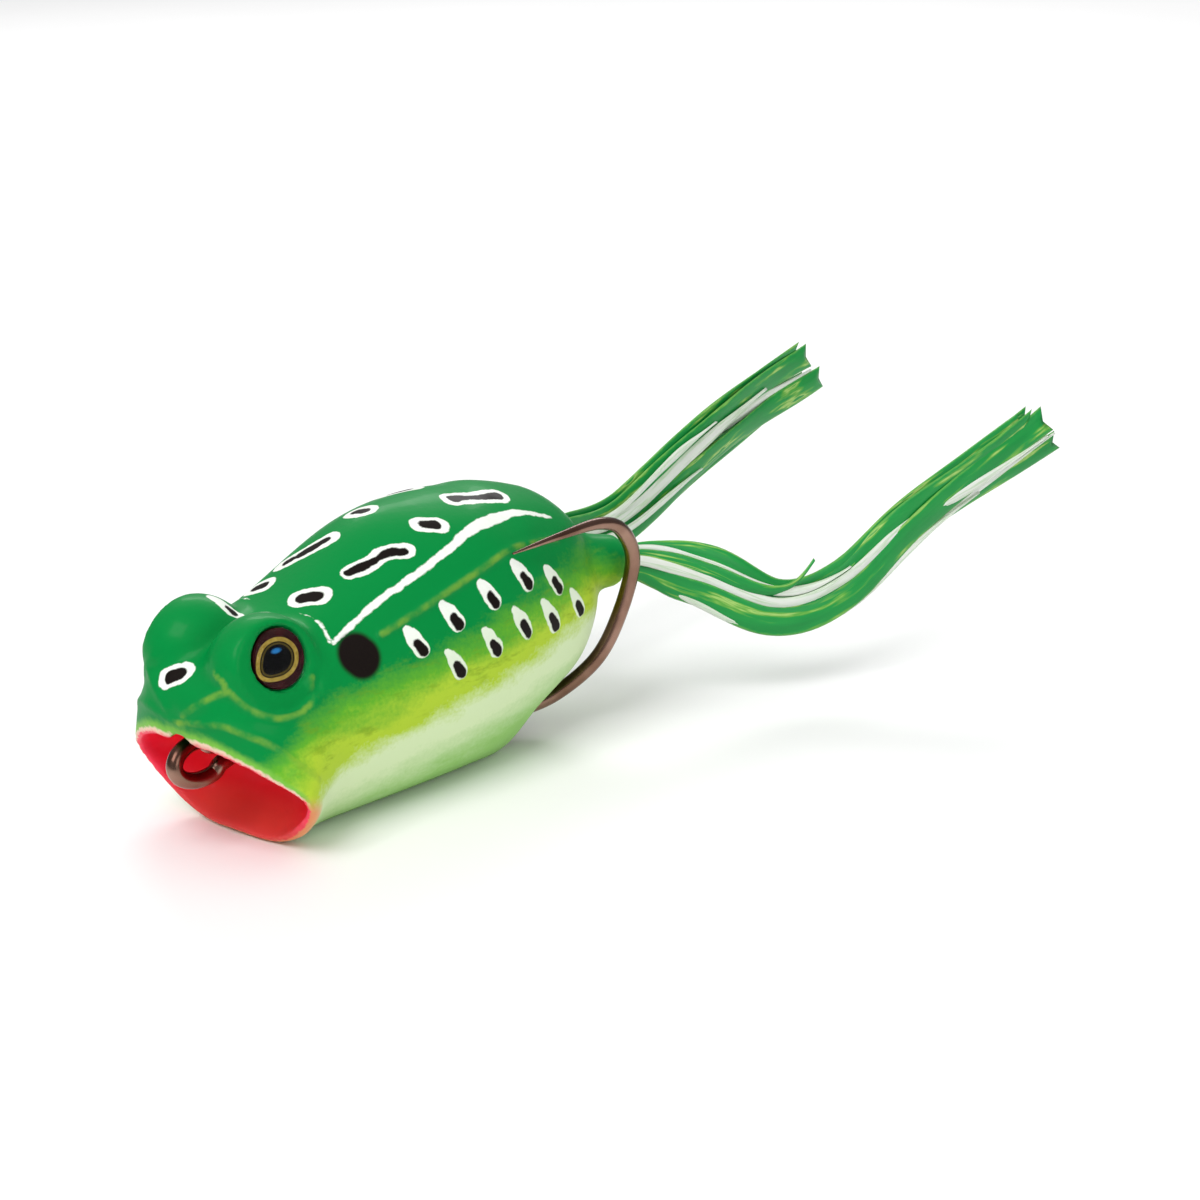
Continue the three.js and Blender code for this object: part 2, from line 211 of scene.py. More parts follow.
def sweep(name, path, radii, sides):
    _, across, up = curve_frames(path)
    angles = np.linspace(0, 2 * np.pi, sides, endpoint=False)
    rings = []
    for centre, a, u, radius in zip(path, across, up, radii):
        rings.append([centre + radius * (math.cos(t) * a + math.sin(t) * u) for t in angles])
    return loft(name, rings)


def rod(name, start, end, radius, sides=48):
    start = np.asarray(start, float)
    end = np.asarray(end, float)
    return sweep(name, np.linspace(start, end, 3), [radius] * 3, sides)


def ellipsoid(name, centre, radii):
    bpy.ops.mesh.primitive_uv_sphere_add(segments=64, ring_count=40, radius=1)
    obj = bpy.context.object
    obj.name = name
    points = read_points(obj.data) * np.asarray(radii, float) + np.asarray(centre, float)
    write_points(obj.data, points)
    return obj


def read_points(mesh):
    flat = np.empty(len(mesh.vertices) * 3)
    mesh.vertices.foreach_get("co", flat)
    return flat.reshape(-1, 3)


def read_normals(mesh):
    flat = np.empty(len(mesh.vertices) * 3)
    mesh.vertices.foreach_get("normal", flat)
    return flat.reshape(-1, 3)


def write_points(mesh, points):
    mesh.vertices.foreach_set("co", np.asarray(points, float).ravel())
    mesh.update()


def apply_modifiers(obj):
    evaluated = obj.evaluated_get(bpy.context.evaluated_depsgraph_get())
    mesh = bpy.data.meshes.new_from_object(evaluated)
    obj.modifiers.clear()
    old = obj.data
    obj.data = mesh
    bpy.data.meshes.remove(old)


def remove(objects):
    for obj in objects:
        mesh = obj.data
        bpy.data.objects.remove(obj)
        bpy.data.meshes.remove(mesh)


def join(objects):
    with bpy.context.temp_override(active_object=objects[0], selected_editable_objects=objects):
        bpy.ops.object.join()
    return objects[0]


def remesh(obj, voxel):
    modifier = obj.modifiers.new("remesh", "REMESH")
    modifier.mode = "VOXEL"
    modifier.voxel_size = voxel
    apply_modifiers(obj)


def cut(obj, cutters):
    for cutter in cutters:
        modifier = obj.modifiers.new("cut", "BOOLEAN")
        modifier.operation = "DIFFERENCE"
        modifier.solver = "MANIFOLD"
        modifier.object = cutter
        apply_modifiers(obj)
    remove(cutters)


def relax(obj, rounds):
    """Moves every point halfway to the middle of its neighbours, rounds times."""
    mesh = obj.data
    points = read_points(mesh)
    edges = np.empty(len(mesh.edges) * 2, int)
    mesh.edges.foreach_get("vertices", edges)
    a, b = edges.reshape(-1, 2).T
    degree = np.bincount(a, minlength=len(points)) + np.bincount(b, minlength=len(points))
    for _ in range(rounds):
        total = np.stack([np.bincount(a, points[b, k], len(points))
                          + np.bincount(b, points[a, k], len(points)) for k in range(3)], axis=1)
        points = points + 0.5 * (total / degree[:, None] - points)
    write_points(mesh, points)


def repaint(obj, material):
    obj.data.materials.clear()
    obj.data.materials.append(material)


def finish_piece(obj, body, material, replaces=()):
    """Stores a piece in metres, smooth, on its body."""
    write_points(obj.data, read_points(obj.data) * MM)
    obj.data.polygons.foreach_set("use_smooth", [True] * len(obj.data.polygons))
    repaint(obj, material)
    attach(obj, body)
    if replaces:
        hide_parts(*replaces)
    return obj


# ---- Materials ----

def srgb(red, green, blue):
    """A colour given as on a paint card, 0 to 255, in linear light."""
    def linear(value):
        value = value / 255
        return value / 12.92 if value <= 0.04045 else ((value + 0.055) / 1.055) ** 2.4
    return (linear(red), linear(green), linear(blue), 1)


class Shader:
    """A material's node tree, with short calls for the nodes used here."""

    def __init__(self, name):
        self.material = bpy.data.materials.new(name)
        self.material.use_nodes = True
        self.tree = self.material.node_tree
        self.principled = self.tree.nodes["Principled BSDF"]

    def add(self, kind, inputs=None, **settings):
        node = self.tree.nodes.new(kind)
        for key, value in settings.items():
            setattr(node, key, value)
        for key, value in (inputs or {}).items():
            self.put(node.inputs[key], value)
        return node

    def put(self, socket, value):
        if isinstance(value, bpy.types.NodeSocket):
            self.tree.links.new(value, socket)
        else:
            socket.default_value = value

    def set(self, **values):
        for key, value in values.items():
            self.put(self.principled.inputs[key.replace("_", " ")], value)

    def attribute(self, name):
        return self.add("ShaderNodeAttribute", attribute_name=name).outputs["Fac"]

    def position(self):
        return self.add("ShaderNodeTexCoord").outputs["Object"]

    def noise(self, scale, detail=3, roughness=0.5, vector=None):
        vector = vector or self.position()
        node = self.add("ShaderNodeTexNoise", {"Vector": vector, "Scale": scale, "Detail": detail,
                                               "Roughness": roughness})
        return node.outputs["Fac"]

    def stretched(self, scale):
        return self.add("ShaderNodeMapping", {"Vector": self.position(), "Scale": scale}).outputs["Vector"]

    def math(self, operation, a, b=0.0):
        node = self.add("ShaderNodeMath", operation=operation)
        self.put(node.inputs[0], a)
        self.put(node.inputs[1], b)
        return node.outputs[0]

    def plus(self, a, b):
        return self.math("ADD", a, b)

    def minus(self, a, b):
        return self.math("SUBTRACT", a, b)

    def times(self, a, b):
        return self.math("MULTIPLY", a, b)

    def fade(self, value, start, end):
        """0 at start and 1 at end, smooth between, whichever is larger."""
        node = self.add("ShaderNodeMapRange", interpolation_type="SMOOTHSTEP")
        self.put(node.inputs["Value"], value)
        low, high = (start, end) if start < end else (end, start)
        node.inputs["From Min"].default_value = low
        node.inputs["From Max"].default_value = high
        node.inputs["To Min"].default_value = 0.0 if start < end else 1.0
        node.inputs["To Max"].default_value = 1.0 if start < end else 0.0
        return node.outputs["Result"]

    def ramp(self, value, stops):
        node = self.add("ShaderNodeValToRGB", {"Fac": value})
        ramp = node.color_ramp
        while len(ramp.elements) < len(stops):
            ramp.elements.new(0.5)
        for element, (place, colour) in zip(ramp.elements, stops):
            element.position = place
            element.color = colour
        return node.outputs["Color"]

    def mix(self, amount, a, b):
        node = self.add("ShaderNodeMix", data_type="RGBA")
        self.put(node.inputs[0], amount)
        self.put(node.inputs[6], a)
        self.put(node.inputs[7], b)
        return node.outputs[2]

    def bump(self, height, strength, distance):
        node = self.add("ShaderNodeBump", {"Height": height, "Strength": strength,
                                           "Distance": distance})
        self.put(self.principled.inputs["Normal"], node.outputs["Normal"])


GREEN = srgb(0, 133, 60)
LEAF = srgb(96, 172, 46)
CHARTREUSE = srgb(176, 206, 56)
PALE = srgb(214, 232, 186)
UNDERSIDE = srgb(150, 200, 112)
INK = srgb(22, 16, 14)
PAINT_WHITE = srgb(240, 244, 236)
OCHRE = srgb(140, 176, 58)


def skin_material():
    """Airbrushed soft plastic: green back, chartreuse flank, pale belly, leopard spots, red cup."""
    s = Shader("painted_soft_plastic")
    xyz = s.add("ShaderNodeSeparateXYZ", {"Vector": s.position()})
    y = xyz.outputs["Y"]
    z = xyz.outputs["Z"]
    # Height above the slanting chartreuse band, in millimetres, ragged as sprayed paint is
    band = s.plus(s.times(y, 0.155), 12.0 * MM)
    snout = s.math("MAXIMUM", s.minus(-22 * MM, y), 0.0)
    tail = s.math("MAXIMUM", s.minus(y, 22 * MM), 0.0)
    band = s.minus(band, s.plus(s.times(snout, 0.5), s.times(tail, 0.7)))
    height = s.times(s.minus(z, band), 1000)
    streaks = s.noise(1.0, 5, 0.6, s.stretched((260, 120, 330)))
    ragged = s.plus(height, s.times(s.minus(streaks, 0.5), 5.5))
    spray = s.minus(s.noise(2600, 2), 0.5)
    ragged = s.plus(ragged, s.times(spray, 1.6))
    spread = s.math("DIVIDE", s.plus(ragged, 13), 20)
    body = s.ramp(spread, [(0.0, UNDERSIDE), (0.18, UNDERSIDE), (0.42, PALE), (0.53, PALE),
                           (0.64, CHARTREUSE), (0.69, CHARTREUSE), (0.82, LEAF), (0.97, GREEN)])
    brushed = s.noise(1.0, 4, 0.65, s.stretched((700, 260, 900)))
    on_flank = s.times(s.fade(height, -1.0, 0.8), s.fade(height, 7.5, 4.0))
    body = s.mix(s.times(s.times(s.fade(brushed, 0.52, 0.72), 0.55), on_flank), body,
                 srgb(112, 150, 30))

    # Thin ochre painted highlight along the raised lines, left off the far side between its ridge and the
    # middle
    line_highlight = s.times(s.fade(s.attribute("crease"), 0.55, 0.1), s.fade(s.noise(420, 3), 0.3, 0.7))
    far_side_unlit = s.times(s.fade(xyz.outputs["X"], -8.5 * MM, -7.5 * MM),
                      s.fade(xyz.outputs["X"], 0.5 * MM, -0.5 * MM))
    line_highlight = s.times(line_highlight, s.minus(1.0, far_side_unlit))
    body = s.mix(s.times(line_highlight, 0.6), body, OCHRE)

    wobble = s.times(s.minus(s.noise(900, 3), 0.5), 0.55)
    white = s.fade(s.plus(s.attribute("light"), wobble), 0.10, -0.06)
    # White stripe along each back ridge, partly a painted highlight on the ridge, plus a painted highlight
    # behind each eye bulge
    stripe_and_highlight = s.fade(s.plus(s.attribute("stripe_and_highlight"), s.times(wobble, 0.9)), 0.10, -0.08)
    dirt = s.times(s.fade(s.noise(1500, 3), 0.5, 0.75), 0.16)
    chalk = s.mix(s.math("MAXIMUM", dirt, s.times(s.fade(height, 9.0, 4.0), 0.5)), PAINT_WHITE,
                  srgb(206, 226, 186))
    body = s.mix(s.math("MAXIMUM", white, stripe_and_highlight), body, chalk)
    ink = s.fade(s.plus(s.attribute("dark"), wobble), 0.12, -0.08)
    ear = s.fade(s.attribute("ear"), 0.35, -0.35)
    body = s.mix(s.math("MAXIMUM", ink, ear), body, INK)

    # The red cup, sprayed soft over its edge: orange under the lower lip, a pale edge on the upper
    depth = s.plus(s.attribute("cup"), s.times(s.minus(s.noise(1400, 2), 0.5), 0.3))
    upper = s.fade(s.plus(z, s.times(y, 0.2)), 0.6 * MM, 3.0 * MM)
    body = s.mix(s.times(s.fade(depth, -0.8, -0.3), upper), body, srgb(120, 186, 70))
    body = s.mix(s.times(s.fade(depth, -0.3, -0.15), upper), body, srgb(238, 208, 184))
    under = s.minus(1.0, upper)
    body = s.mix(s.times(s.fade(depth, -3.2, -0.2), under), body, srgb(226, 148, 100))
    red = s.ramp(s.math("DIVIDE", depth, 7), [(0.0, srgb(248, 72, 98)), (0.25, srgb(248, 40, 66)),
                                             (0.6, srgb(244, 26, 46)), (1.0, srgb(232, 20, 38))])
    low = s.fade(z, 5.0 * MM, 1.0 * MM)
    red = s.mix(s.times(low, 0.7), red, srgb(206, 78, 60))
    body = s.mix(s.fade(depth, -0.2, 0.15), body, red)

    s.set(Base_Color=body, Roughness=s.plus(0.36, s.times(s.noise(700, 2), 0.14)))
    s.principled.inputs["Coat Weight"].default_value = 0.06
    s.principled.inputs["Coat Roughness"].default_value = 0.1
    s.principled.inputs["Specular IOR Level"].default_value = 0.05
    pits = s.plus(s.noise(1800, 3), s.times(s.noise(300, 2), 0.6))
    s.bump(pits, 0.25, 0.00008)
    return s.material


def bronze_material():
    s = Shader("bronze_plated_wire")
    tint = s.ramp(s.noise(160, 3), [(0.35, srgb(166, 132, 116)), (0.65, srgb(122, 90, 74))])
    # Upward faces painted dark brown: a painted dark reflection on the wire's upper side
    facing = s.add("ShaderNodeSeparateXYZ", {"Vector": s.add("ShaderNodeNewGeometry").outputs["Normal"]})
    top_dark_reflection = s.fade(facing.outputs["Z"], -0.1, 0.6)
    tint = s.mix(s.times(top_dark_reflection, 0.8), tint, srgb(62, 38, 32))
    s.set(Base_Color=tint, Metallic=1.0)
    s.set(Roughness=s.plus(0.16, s.times(s.noise(1.0, 4, 0.6, s.stretched((900, 300, 900))), 0.16)))
    s.bump(s.noise(2600, 2), 0.10, 0.00003)
    return s.material


def lead_material():
    s = Shader("cast_lead")
    s.set(Base_Color=s.ramp(s.noise(500, 4), [(0.3, srgb(92, 96, 102)), (0.7, srgb(136, 140, 146))]),
          Metallic=0.8, Roughness=s.plus(0.45, s.times(s.noise(900, 3), 0.25)))
    s.bump(s.noise(700, 4), 0.4, 0.00015)
    return s.material


def thread_material():
    s = Shader("waxed_thread")
    wave = s.add("ShaderNodeTexWave", {"Vector": s.position(), "Scale": 2600.0, "Distortion": 1.0})
    s.set(Base_Color=s.ramp(wave.outputs["Fac"], [(0.2, srgb(20, 22, 20)), (0.8, srgb(60, 62, 56))]),
          Roughness=0.7)
    s.bump(wave.outputs["Fac"], 0.5, 0.0001)
    return s.material


def resin_material():
    s = Shader("clear_resin")
    tint = s.ramp(s.noise(300, 2), [(0.3, (1, 1, 1, 1)), (0.7, (0.97, 0.98, 0.97, 1))])
    s.set(Base_Color=tint, Roughness=0.02, IOR=1.01)
    s.principled.inputs["Transmission Weight"].default_value = 1.0
    s.principled.inputs["Coat Weight"].default_value = 0.12
    s.principled.inputs["Coat Roughness"].default_value = 0.03
    s.bump(s.noise(600, 2), 0.02, 0.00002)
    return s.material


def iris_material(side_name, side):
    """Dark foil with a gold teardrop ring round a black pupil, and a painted blue reflection in the pupil.
    """
    s = Shader(f"{side_name}_iris_foil")
    normal = mirrored(EYE_NORMAL, side)
    across = unit(np.cross((0, 0, 1), normal)) * side
    up = unit(np.cross(normal, across)) * side
    offset = s.add("ShaderNodeVectorMath", operation="SUBTRACT")
    s.put(offset.inputs[0], s.position())
    offset.inputs[1].default_value = mirrored(EYE_CENTRE, side) * MM

    def along(direction):
        node = s.add("ShaderNodeVectorMath", operation="DOT_PRODUCT")
        s.put(node.inputs[0], offset.outputs["Vector"])
        node.inputs[1].default_value = direction
        return s.times(node.outputs["Value"], 1000)

    u = s.plus(along(across), 0.12)
    v = along(up)
    wide = s.math("DIVIDE", u, 1.18)
    reach = s.math("SQRT", s.plus(s.times(wide, wide), s.times(v, v)))
    corner = math.radians(214)
    facing = s.plus(s.times(wide, math.cos(corner)), s.times(v, math.sin(corner)))
    cosine = s.math("DIVIDE", facing, s.math("MAXIMUM", reach, 0.01))
    point = s.math("POWER", s.math("MAXIMUM", cosine, 0.0), 7.0)
    inside = s.minus(s.plus(2.1, s.times(point, 0.4)), reach)
    gold = s.ramp(s.noise(2400, 3), [(0.3, srgb(140, 116, 44)), (0.7, srgb(186, 160, 76))])
    maroon = s.ramp(s.noise(900, 3), [(0.3, srgb(34, 8, 12)), (0.7, srgb(54, 16, 18))])
    colour = s.mix(s.fade(inside, -0.03, 0.03), maroon, srgb(8, 8, 10))
    # Painted blue reflection at the top of the pupil
    glint = s.minus(v, 0.8)
    glint_reach = s.math("SQRT", s.plus(s.times(u, u),
                                        s.times(s.times(glint, glint), 5.0)))
    colour = s.mix(s.times(s.fade(glint_reach, 0.8, 0.25), 0.85), colour, srgb(44, 126, 196))
    inner_line = s.fade(s.math("ABSOLUTE", s.minus(inside, 0.62)), 0.12, 0.05)
    colour = s.mix(s.times(inner_line, 0.55), colour, srgb(112, 96, 40))
    ring = s.fade(s.math("ABSOLUTE", s.minus(inside, 0.2)), 0.24, 0.17)
    colour = s.mix(ring, colour, gold)
    s.set(Base_Color=colour, Roughness=0.35, Metallic=s.times(ring, 0.3))
    s.principled.inputs["Specular IOR Level"].default_value = 0.05
    return s.material


def strand_material(name, stops, edge, sheer):
    """Silicone ribbon: moulded colour with long streaks, and another tint along its thin edges."""
    s = Shader(name)
    across = s.attribute("across")
    place = s.add("ShaderNodeCombineXYZ", {"X": s.times(across, 1.1),
                                           "Y": s.times(s.attribute("along"), 0.07),
                                           "Z": s.times(s.attribute("tone"), 9.0)})
    streaks = s.noise(1.6, 3, 0.5, place.outputs["Vector"])
    colour = s.ramp(streaks, stops)
    fray = s.times(s.minus(s.noise(900, 3), 0.5), 0.25)
    rim = s.fade(s.plus(s.math("ABSOLUTE", across), fray), 0.8, 1.0)
    colour = s.mix(s.times(rim, 0.7), colour, edge)
    s.set(Base_Color=colour, Roughness=s.plus(0.36, s.times(streaks, 0.15)))
    s.principled.inputs["Transmission Weight"].default_value = sheer
    s.principled.inputs["Coat Weight"].default_value = 0.1
    s.principled.inputs["Specular IOR Level"].default_value = 0.3
    s.bump(streaks, 0.3, 0.00008)
    return s.material


def floor_material():
    s = Shader("plain_pale_floor")
    tone = s.ramp(s.noise(8, 2), [(0.3, (0.90, 0.90, 0.90, 1)), (0.7, (0.93, 0.93, 0.93, 1))])
    s.set(Base_Color=tone, Roughness=0.6)
    return s.material


# ---- Body moulding ----

def section_controls(station):
    y, lean, sweep_back, crown, ridge, crease, flank, chine, keel = station
    shoulder = (0.55 * ridge[0], crown - 0.3 * (crown - ridge[1]))
    half = [(0, crown), shoulder, ridge, crease, flank, chine, keel, (0, keel[1])]
    other = [(-x, z) for x, z in half[-2:0:-1]]
    return [(x, y + lean * (z - LEVEL) + sweep_back * (x / HALF_BEAM) ** 2, z) for x, z in half + other]


CONTROLS = np.array([section_controls(station) for station in STATIONS])


def body_section(along, count):
    corners = np.array([catmull(CONTROLS[:, k], [along])[0] for k in range(CONTROLS.shape[1])])
    return catmull(corners, np.arange(count) / count, closed=True)


def body_outer():
    """The outside skin, carried on a little in front of the lips, where lip_trim cuts it off."""
    rings = [body_section(t, BODY_SIDES) for t in np.linspace(0, 1, BODY_RINGS)]
    ahead = rings[0] + LIP_OVERRUN * (rings[0] - body_section(1 / (len(STATIONS) - 1), BODY_SIDES))
    return loft("body_outer", [ahead] + rings)


def lip_stack(name, rows):
    """A closed form from copies of the lips, each (depth, size, lift)."""
    lips = body_section(0, LIP_SIDES)
    middle = lips.mean(axis=0)
    return loft(name, [(lips - middle) * size + middle + (0, depth, lift) for depth, size, lift in rows])


def lip_trim():
    return lip_stack("lip_trim", [(-6, 1.5, 0), (0, 1.5, 0), (0, 1.0, 0), (0, 0.4, 0)])


def body_cavity():
    last = len(STATIONS) - 1
    rings = []
    for along in np.linspace(CAVITY_START / last, (last - CAVITY_END) / last, CAVITY_RINGS):
        ring = body_section(along, CAVITY_SIDES)
        inward = ring.mean(axis=0) - ring
        ring = ring + WALL * inward / np.linalg.norm(inward, axis=1)[:, None]
        ring[:, 2] = np.maximum(ring[:, 2], WALL)
        rings.append(ring)
    return loft("body_cavity", rings)


# The mouth's cup as copies of the lips: depth behind them, size and lift
CUP_ROWS = [(-2, 0.91, 0), (0, 0.92, 0), (1.8, 0.90, 0.5), (3.6, 0.79, 1.1), (5, 0.6, 1.6), (5.8, 0.34, 1.9)]
CUP_STEPS = 26


def mouth_cup():
    return lip_stack("mouth_cup", catmull(CUP_ROWS, np.linspace(0, 1, CUP_STEPS)))


def body_cutters():
    cutters = [lip_trim(), body_cavity(), mouth_cup()]
    cutters.append(ellipsoid("line_eye_room", LINE_EYE_CENTRE + (0, 0, 0.3),
                             (SHANK_OFFSET + WIRE_RADIUS + 0.9, LINE_EYE_LENGTH + WIRE_RADIUS + 0.7,
                              LINE_EYE_HEIGHT + WIRE_RADIUS + 0.7)))
    hole = rod("shank_hole", *SHANK_HOLE, 1)
    points = read_points(hole.data)
    middle = points.mean(axis=0)
    points = (points - middle) * (SHANK_OFFSET + WIRE_RADIUS + 0.3, 1, WIRE_RADIUS + 0.7) + middle
    write_points(hole.data, points)
    cutters.append(hole)
    slot = rod("belly_slot", *BELLY_SLOT, 1, 64)
    points = read_points(slot.data)
    points[:, 0] = np.sign(points[:, 0]) * np.minimum(np.abs(points[:, 0]) * 6, SLOT_HALF_WIDTH)
    level = BELLY_SLOT[0][2]
    points[:, 2] = level + (points[:, 2] - level) * 5.2
    write_points(slot.data, points)
    cutters.append(slot)
    for side in (1, -1):
        normal = mirrored(EYE_NORMAL, side)
        floor = mirrored(EYE_CENTRE, side) - normal * EYE_SOCKET_DEPTH
        rim = mirrored(EYE_CENTRE, side) + normal * EYE_FLAT_HEIGHT
        cutters.append(rod("eye_socket", floor, floor + normal * 6, EYE_RADIUS + EYE_CLEARANCE, 72))
        cutters.append(rod("eye_flat", rim, rim + normal * 5, EYE_FLAT_RADIUS, 72))
        end = mirrored(TUBE_END, side)
        direction = mirrored(TUBE_DIRECTION, side)
        cutters.append(rod("tube_bore", end - direction * TUBE_LENGTH, end + direction, TUBE_BORE))
    return cutters


# Raised lines in the moulding, on the frog's left: the crease along the flank, the ring under the
# eye, the cheek and the line that follows the upper lip
RAISED_LINES = [
    [(9.1, -10.2, 19.7), (9.6, -5.2, 21.0), (9.8, -0.9, 22.1), (9.8, 3.5, 23.1), (9.5, 9.0, 24.1),
     (8.4, 16.5, 23.0)],
    [(4.6, -27.3, 19.2), (6.7, -27.5, 17.1), (8.0, -26.5, 15.8), (9.2, -24.3, 14.9), (9.7, -22.0, 15.3),
     (10.0, -20.3, 16.3), (10.2, -19.6, 18.0)],
    [(1.2, -30.2, 15.0), (3.6, -29.5, 16.8), (5.8, -27.8, 17.9)],
    [(0.4, -30.1, 14.0), (5.4, -29.4, 14.7), (8.1, -27.9, 13.9), (9.8, -26.0, 12.6),
     (11.0, -24.4, 10.8), (11.6, -22.4, 8.5)],
]
LINE_HEIGHT = 0.2
LINE_HALF_WIDTH = 0.5
FAR_AWAY = 50.0


def surface_tree(obj):
    return BVHTree.FromObject(obj, bpy.context.evaluated_depsgraph_get())


def laid_on(tree, nodes):
    """A chain of (x, y, z, radius) nodes, filled in and laid on the surface."""
    nodes = np.asarray(nodes, float)
    if len(nodes) > 1:
        length = np.linalg.norm(np.diff(nodes[:, :3], axis=0), axis=1).sum()
        nodes = catmull(nodes, np.linspace(0, 1, max(3, int(length / NODE_SPACING))))
    placed = [tree.find_nearest(Vector(node[:3]))[0] for node in nodes]
    return np.column_stack([np.array([tuple(p) for p in placed]), nodes[:, 3]])


def chain_distance(points, chains, reach=6.0):
    """Signed distance in millimetres to the nearest chain of discs, negative inside."""
    nearest = np.full(len(points), FAR_AWAY)
    for chain in chains:
        low = chain[:, :3].min(axis=0) - reach
        high = chain[:, :3].max(axis=0) + reach
        close = np.nonzero(((points > low) & (points < high)).all(axis=1))[0]
        for centre in chain:
            gap = np.linalg.norm(points[close] - centre[:3], axis=1) - centre[3]
            nearest[close] = np.minimum(nearest[close], gap)
    return nearest


def both_sides(chain):
    return [chain, [(-node[0], *node[1:]) for node in chain]]


def raise_lines(obj):
    tree = surface_tree(obj)
    lines = [laid_on(tree, [(*p, 0.0) for p in side_line]) for line in RAISED_LINES
             for side_line in both_sides(line)]
    points = read_points(obj.data)
    gap = chain_distance(points, lines, 2.0)
    lift = LINE_HEIGHT * np.exp(-(gap / LINE_HALF_WIDTH) ** 2)
    write_points(obj.data, points + read_normals(obj.data) * lift[:, None])


# ---- Paint marks: nodes of x, y, z and radius ----

def oval(centre, direction, half_length, half_width):
    """A spot as a short chain of discs."""
    direction = unit(np.array((*direction, 0.0)))
    run = (half_length - half_width) * direction
    centre = np.array(centre, float)
    return [(*(centre - run), half_width), (*centre, half_width), (*(centre + run), half_width)]


BACK_OVALS = [  # centre, direction, white half sizes, black half sizes
    ((2.8, -13.7, 22.8), (0.7, 0.72), (2.25, 1.25), (1.45, 0.74)),
    ((-4.4, -13.8, 22.6), (0.86, 0.5), (2.0, 1.25), (1.1, 0.62)),
    ((5.2, 1.0, 27.6), (0.59, 0.81), (2.15, 1.12), (1.25, 0.62)),
    ((-1.6, -1.9, 28.1), (0.95, 0.3), (1.95, 1.55), (1.15, 0.68)),
    ((-1.3, -28.2, 18.0), (0.75, 0.66), (2.3, 1.2), (1.4, 0.72)),
    ((-0.8, 17.6, 27.0), (0.3, 0.95), (2.2, 1.1), (1.5, 0.45)),
]
BACK_WORMS = [  # white chain, black chain
    ([(3.7, -9.6, 24.3, 0.95), (4.6, -7.8, 24.9, 1.0), (5.0, -5.4, 25.8, 0.95), (6.1, -3.4, 26.0, 0.95)],
     [(3.8, -9.4, 24.4, 0.45), (4.5, -8.0, 24.9, 0.55), (4.9, -6.3, 25.4, 0.34), (5.1, -5.2, 25.8, 0.55),
      (6.0, -3.7, 26.0, 0.48)]),
    ([(-4.4, -10.2, 23.9, 1.2), (-2.5, -8.6, 25.2, 1.2), (-1.0, -6.7, 26.5, 1.1)],
     [(-4.1, -10.0, 24.0, 0.5), (-2.5, -8.6, 25.2, 0.66), (-1.3, -7.0, 26.3, 0.48)]),
    ([(3.2, 6.7, 29.0, 1.35), (3.6, 9.6, 28.6, 1.15), (4.0, 12.7, 27.8, 1.35)],
     [(3.2, 6.9, 29.0, 0.72), (3.6, 9.6, 28.6, 0.42), (4.0, 12.5, 27.8, 0.72)]),
    ([(-4.2, 4.0, 28.6, 1.4), (-2.6, 6.4, 29.1, 1.4)], [(-3.8, 4.5, 28.7, 0.55), (-2.8, 6.0, 29.1, 0.65)]),
    ([(-3.9, -21.0, 23.0, 0.75), (-2.6, -20.6, 22.2, 0.85), (-1.7, -19.6, 21.5, 0.55)],
     [(-2.7, -20.6, 22.2, 0.34), (-2.1, -20.2, 21.8, 0.45)]),
    ([(3.9, -21.0, 23.0, 0.75), (2.6, -20.6, 22.2, 0.85), (1.7, -19.6, 21.5, 0.55)],
     [(2.7, -20.6, 22.2, 0.34), (2.1, -20.2, 21.8, 0.45)]),
]
FLANK_SPOTS = [  # x, y, z and size, front to back along the upper and lower rows
    (10.4, -6.7, 18.2, 1.0), (10.5, -1.6, 19.6, 0.98), (10.7, 3.8, 20.6, 1.0), (10.5, 9.2, 21.3, 1.05),
    (10.3, 14.2, 19.5, 1.0), (11.8, -2.5, 15.0, 0.95), (11.9, 2.8, 15.9, 0.97), (11.7, 7.6, 16.7, 1.05),
    (11.3, 12.5, 16.1, 1.1), (10.1, 17.7, 16.0, 0.95),
]
# White stripe along the back ridge, partly a painted highlight on it
RIDGE_STRIPE_AND_HIGHLIGHT = [(7.7, -15.6, 19.8, 0.15), (7.6, -13.7, 20.7, 0.3), (7.6, -8.7, 22.6, 0.36),
          (7.9, -3.3, 24.2, 0.4), (7.9, 1.2, 25.7, 0.45), (7.5, 4.6, 26.7, 0.55), (7.1, 8.1, 26.9, 0.72),
          (6.5, 11.8, 26.6, 0.5), (6.3, 16.7, 24.8, 0.22), (6.1, 20.2, 23.1, 0.05)]
# Painted highlight along the back edge of the eye bulge
EYE_BULGE_HIGHLIGHT = [(3.2, -16.0, 22.0, 0.02), (4.6, -15.7, 21.7, 0.08), (6.2, -15.6, 21.1, 0.16),
          (7.5, -15.9, 20.1, 0.16)]
EAR = [(9.0, -13.6, 18.5, 2.2), (9.1, -13.2, 18.0, 2.2)]


def flank_spot(x, y, z, size):
    white = [(x, y - 0.8 * size, z + 1.5 * size, 0.45 * size), (x, y - 0.2, z + 0.5, 0.85 * size),
             (x, y + 0.5 * size, z - 0.85 * size, 0.98 * size)]
    black = [(x, y + 0.15 * size, z - 0.2 * size, 0.5 * size),
             (x, y + 0.65 * size, z - 1.15 * size, 0.62 * size)]
    return white, black


